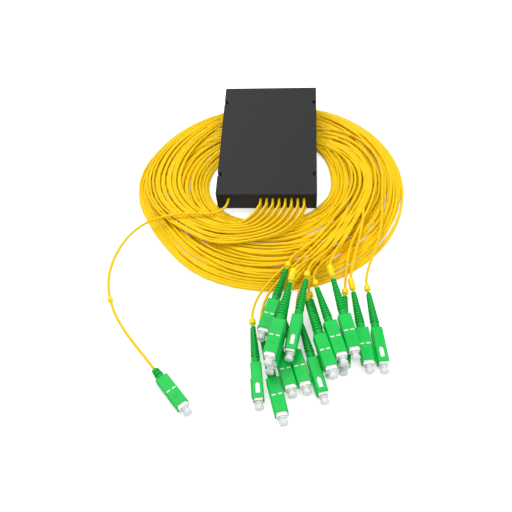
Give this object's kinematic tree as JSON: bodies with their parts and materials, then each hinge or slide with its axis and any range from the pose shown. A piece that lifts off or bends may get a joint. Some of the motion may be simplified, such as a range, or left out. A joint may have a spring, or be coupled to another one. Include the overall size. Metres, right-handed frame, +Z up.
{
  "type": "plc fibre splitter",
  "caption": "Optical splitter in a flat black cassette box, with coiled yellow leads ending in green push-pull plugs with ribbed boots and clear dust caps.",
  "frame": {"origin": "on the bench under the middle of the cassette box, measured without its cables and plugs", "axes": "+X to the right seen from the port side, +Y from the port wall to the back of the box, +Z up"},
  "size_m": [0.2263, 0.3177, 0.0304],
  "materials": {
    "black_abs": "fine moulded texture, satin",
    "cable_yellow": "smooth soft jacket",
    "marker_yellow": "heat-shrunk ring",
    "grip_green": "moulded, satin gloss",
    "boot_green": "soft moulded elastomer",
    "plug_white": "moulded, gloss",
    "cap_clear": "milky translucent",
    "ferrule_ceramic": "polished zirconia ceramic",
    "crimp_metal": "turned",
    "screw_steel": "zinc plated",
    "module_steel": "brushed",
    "sealing_rubber": "moulded",
    "chip_glass": "diced silica on silicon",
    "array_glass": "ground",
    "ribbon_coating": "coated fibre ribbon",
    "loose_tube_white": "extruded",
    "potting_resin": "cured resin"
  },
  "bodies": {
    "splitter": {"base_shell": "black_abs", "lid": "black_abs", "lid_screws": "screw_steel", "cable_anchor": "potting_resin", "module_tube": "module_steel", "module_end_plugs": "sealing_rubber", "plc_chip": "chip_glass", "output_array": "array_glass", "input_array": "array_glass", "fibre_ribbon": "ribbon_coating", "input_fibre": "loose_tube_white", "fan_out_tubes": "loose_tube_white", "plug_frames": "plug_white", "ferrules": "ferrule_ceramic", "crimp_bodies": "crimp_metal", "output_boots": "boot_green", "input_boot": "boot_green", "cable_coil": "cable_yellow", "port_leads": "cable_yellow", "plug_leads": "cable_yellow", "input_lead": "cable_yellow", "marker_rings": "marker_yellow"},
    "grip_in": {"grip_in": "grip_green"},
    "dust_cap_in": {"dust_cap_in": "cap_clear"},
    "grip_01": {"grip_01": "grip_green"},
    "dust_cap_01": {"dust_cap_01": "cap_clear"},
    "grip_02": {"grip_02": "grip_green"},
    "dust_cap_02": {"dust_cap_02": "cap_clear"},
    "grip_03": {"grip_03": "grip_green"},
    "dust_cap_03": {"dust_cap_03": "cap_clear"},
    "grip_04": {"grip_04": "grip_green"},
    "dust_cap_04": {"dust_cap_04": "cap_clear"},
    "grip_05": {"grip_05": "grip_green"},
    "dust_cap_05": {"dust_cap_05": "cap_clear"},
    "grip_06": {"grip_06": "grip_green"},
    "dust_cap_06": {"dust_cap_06": "cap_clear"},
    "grip_07": {"grip_07": "grip_green"},
    "dust_cap_07": {"dust_cap_07": "cap_clear"},
    "grip_08": {"grip_08": "grip_green"},
    "dust_cap_08": {"dust_cap_08": "cap_clear"},
    "grip_09": {"grip_09": "grip_green"},
    "dust_cap_09": {"dust_cap_09": "cap_clear"},
    "grip_10": {"grip_10": "grip_green"},
    "dust_cap_10": {"dust_cap_10": "cap_clear"},
    "grip_11": {"grip_11": "grip_green"},
    "dust_cap_11": {"dust_cap_11": "cap_clear"},
    "grip_12": {"grip_12": "grip_green"},
    "dust_cap_12": {"dust_cap_12": "cap_clear"},
    "grip_13": {"grip_13": "grip_green"},
    "dust_cap_13": {"dust_cap_13": "cap_clear"},
    "grip_14": {"grip_14": "grip_green"},
    "dust_cap_14": {"dust_cap_14": "cap_clear"},
    "grip_15": {"grip_15": "grip_green"},
    "dust_cap_15": {"dust_cap_15": "cap_clear"},
    "grip_16": {"grip_16": "grip_green"},
    "dust_cap_16": {"dust_cap_16": "cap_clear"}
  },
  "joints": [
    {"name": "grip_in_pull_back", "type": "slide", "parent": "splitter", "child": "grip_in", "axis": [-0.6561, 0.7547, 0], "range_m": [0, 0.002]},
    {"name": "dust_cap_in_pull_off", "type": "slide", "parent": "splitter", "child": "dust_cap_in", "axis": [0.6561, -0.7547, 0], "range_m": [0, 0.008]},
    {"name": "grip_01_pull_back", "type": "slide", "parent": "splitter", "child": "grip_01", "axis": [-0.1219, 0.9925, 0], "range_m": [0, 0.002]},
    {"name": "dust_cap_01_pull_off", "type": "slide", "parent": "splitter", "child": "dust_cap_01", "axis": [0.1219, -0.9925, 0], "range_m": [0, 0.008]},
    {"name": "grip_02_pull_back", "type": "slide", "parent": "splitter", "child": "grip_02", "axis": [0.2588, 0.9658, -0.0175], "range_m": [0, 0.002]},
    {"name": "dust_cap_02_pull_off", "type": "slide", "parent": "splitter", "child": "dust_cap_02", "axis": [-0.2588, -0.9658, 0.0175], "range_m": [0, 0.008]},
    {"name": "grip_03_pull_back", "type": "slide", "parent": "splitter", "child": "grip_03", "axis": [0.2158, 0.9733, 0.0785], "range_m": [0, 0.002]},
    {"name": "dust_cap_03_pull_off", "type": "slide", "parent": "splitter", "child": "dust_cap_03", "axis": [-0.2158, -0.9733, -0.0785], "range_m": [0, 0.008]},
    {"name": "grip_04_pull_back", "type": "slide", "parent": "splitter", "child": "grip_04", "axis": [0.1902, 0.9786, 0.0785], "range_m": [0, 0.002]},
    {"name": "dust_cap_04_pull_off", "type": "slide", "parent": "splitter", "child": "dust_cap_04", "axis": [-0.1902, -0.9786, -0.0785], "range_m": [0, 0.008]},
    {"name": "grip_05_pull_back", "type": "slide", "parent": "splitter", "child": "grip_05", "axis": [0.1814, 0.9787, 0.0958], "range_m": [0, 0.002]},
    {"name": "dust_cap_05_pull_off", "type": "slide", "parent": "splitter", "child": "dust_cap_05", "axis": [-0.1814, -0.9787, -0.0958], "range_m": [0, 0.008]},
    {"name": "grip_06_pull_back", "type": "slide", "parent": "splitter", "child": "grip_06", "axis": [-0.2588, 0.9659, 0], "range_m": [0, 0.002]},
    {"name": "dust_cap_06_pull_off", "type": "slide", "parent": "splitter", "child": "dust_cap_06", "axis": [0.2588, -0.9659, 0], "range_m": [0, 0.008]},
    {"name": "grip_07_pull_back", "type": "slide", "parent": "splitter", "child": "grip_07", "axis": [-0.2667, 0.9618, -0.061], "range_m": [0, 0.002]},
    {"name": "dust_cap_07_pull_off", "type": "slide", "parent": "splitter", "child": "dust_cap_07", "axis": [0.2667, -0.9618, 0.061], "range_m": [0, 0.008]},
    {"name": "grip_08_pull_back", "type": "slide", "parent": "splitter", "child": "grip_08", "axis": [-0.275, 0.9589, -0.0698], "range_m": [0, 0.002]},
    {"name": "dust_cap_08_pull_off", "type": "slide", "parent": "splitter", "child": "dust_cap_08", "axis": [0.275, -0.9589, 0.0698], "range_m": [0, 0.008]},
    {"name": "grip_09_pull_back", "type": "slide", "parent": "splitter", "child": "grip_09", "axis": [-0.2671, 0.963, 0.0349], "range_m": [0, 0.002]},
    {"name": "dust_cap_09_pull_off", "type": "slide", "parent": "splitter", "child": "dust_cap_09", "axis": [0.2671, -0.963, -0.0349], "range_m": [0, 0.008]},
    {"name": "grip_10_pull_back", "type": "slide", "parent": "splitter", "child": "grip_10", "axis": [-0.2755, 0.9607, -0.0349], "range_m": [0, 0.002]},
    {"name": "dust_cap_10_pull_off", "type": "slide", "parent": "splitter", "child": "dust_cap_10", "axis": [0.2755, -0.9607, 0.0349], "range_m": [0, 0.008]},
    {"name": "grip_11_pull_back", "type": "slide", "parent": "splitter", "child": "grip_11", "axis": [-0.2756, 0.9612, 0.0087], "range_m": [0, 0.002]},
    {"name": "dust_cap_11_pull_off", "type": "slide", "parent": "splitter", "child": "dust_cap_11", "axis": [0.2756, -0.9612, -0.0087], "range_m": [0, 0.008]},
    {"name": "grip_12_pull_back", "type": "slide", "parent": "splitter", "child": "grip_12", "axis": [0.0523, 0.9986, 0], "range_m": [0, 0.002]},
    {"name": "dust_cap_12_pull_off", "type": "slide", "parent": "splitter", "child": "dust_cap_12", "axis": [-0.0523, -0.9986, 0], "range_m": [0, 0.008]},
    {"name": "grip_13_pull_back", "type": "slide", "parent": "splitter", "child": "grip_13", "axis": [-0.2241, 0.9707, 0.0872], "range_m": [0, 0.002]},
    {"name": "dust_cap_13_pull_off", "type": "slide", "parent": "splitter", "child": "dust_cap_13", "axis": [0.2241, -0.9707, -0.0872], "range_m": [0, 0.008]},
    {"name": "grip_14_pull_back", "type": "slide", "parent": "splitter", "child": "grip_14", "axis": [-0.1389, 0.9884, 0.061], "range_m": [0, 0.002]},
    {"name": "dust_cap_14_pull_off", "type": "slide", "parent": "splitter", "child": "dust_cap_14", "axis": [0.1389, -0.9884, -0.061], "range_m": [0, 0.008]},
    {"name": "grip_15_pull_back", "type": "slide", "parent": "splitter", "child": "grip_15", "axis": [-0.1218, 0.9916, 0.0436], "range_m": [0, 0.002]},
    {"name": "dust_cap_15_pull_off", "type": "slide", "parent": "splitter", "child": "dust_cap_15", "axis": [0.1218, -0.9916, -0.0436], "range_m": [0, 0.008]},
    {"name": "grip_16_pull_back", "type": "slide", "parent": "splitter", "child": "grip_16", "axis": [-0.1994, 0.9799, 0], "range_m": [0, 0.002]},
    {"name": "dust_cap_16_pull_off", "type": "slide", "parent": "splitter", "child": "dust_cap_16", "axis": [0.1994, -0.9799, 0], "range_m": [0, 0.008]}
  ]
}
